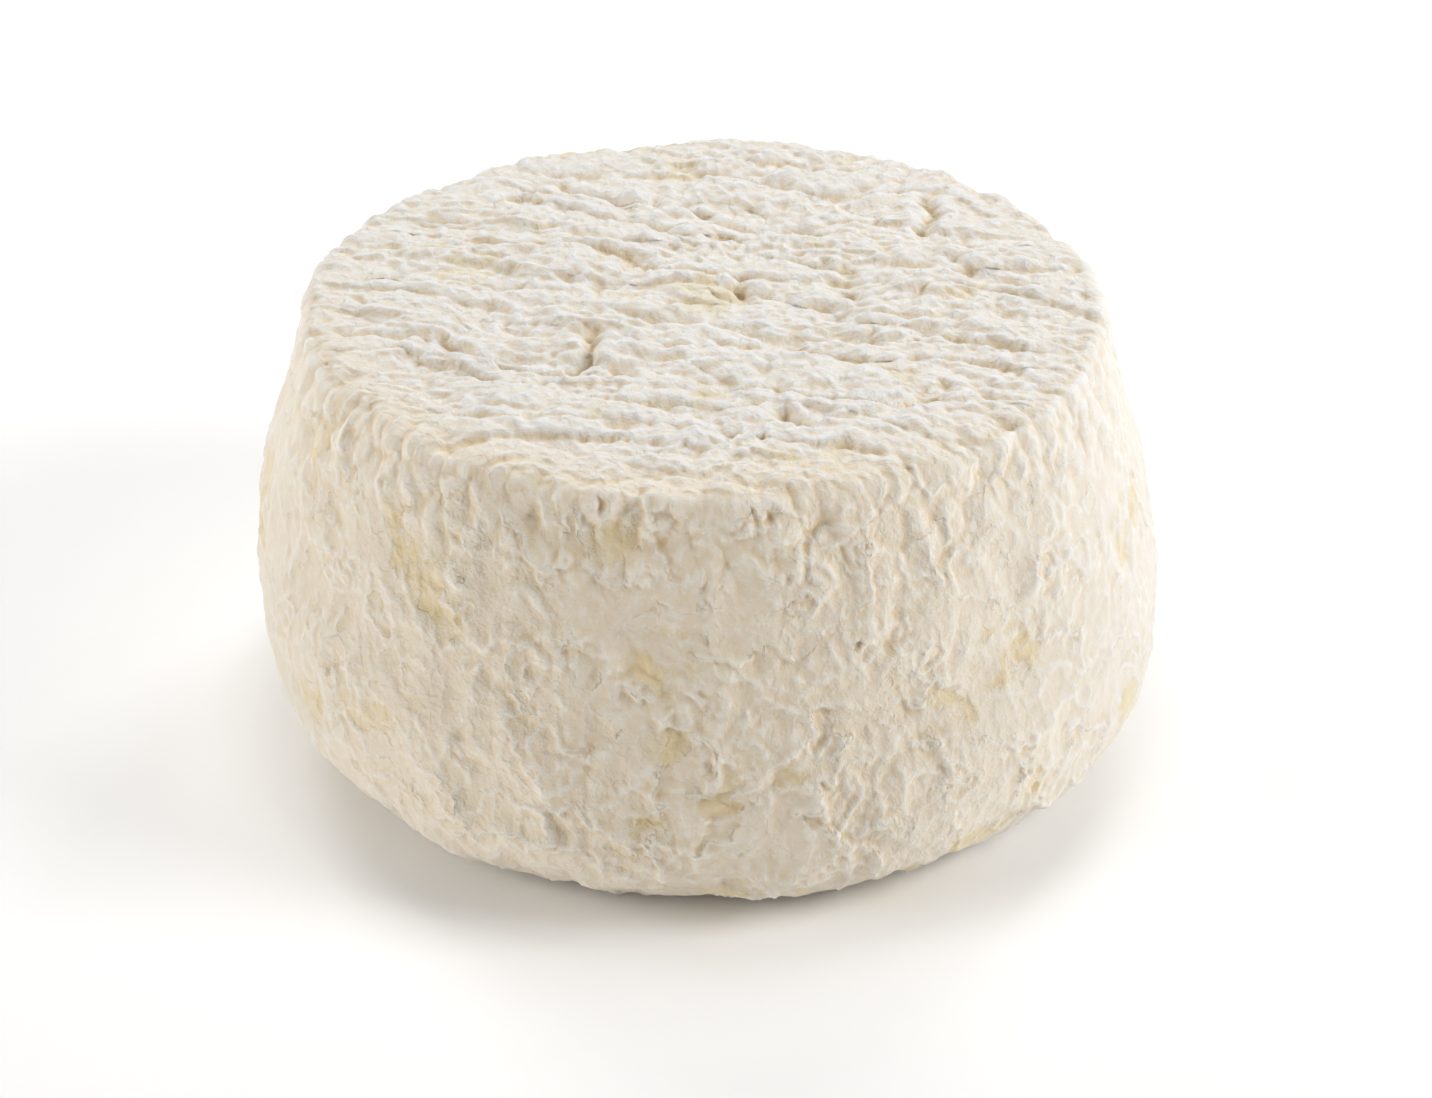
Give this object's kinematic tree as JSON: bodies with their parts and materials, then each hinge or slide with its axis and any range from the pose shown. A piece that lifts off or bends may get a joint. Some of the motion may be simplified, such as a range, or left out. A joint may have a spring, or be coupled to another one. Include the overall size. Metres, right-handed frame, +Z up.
{
  "type": "soft-ripened cheese wheel",
  "caption": "Small round soft-ripened cheese wheel with a wrinkled white bloomy rind, bulging wall and flat base; stands on a board or plate as food.",
  "frame": {"origin": "centre of the flat base, on the surface the wheel stands on", "axes": "+Z up through the wheel's centre, from its base to its wrinkled top; the mounds across the top run along X within about ten degrees; the shown front faces -Y"},
  "size_m": [0.1206, 0.1202, 0.0605],
  "materials": {
    "rind": "matte velvety white mould bloom over pale straw-yellow rind, whiter on the crests and yellower in the hollows and bare patches"
  },
  "bodies": {
    "root": {"cheese_wheel": "rind"}
  },
  "joints": []
}
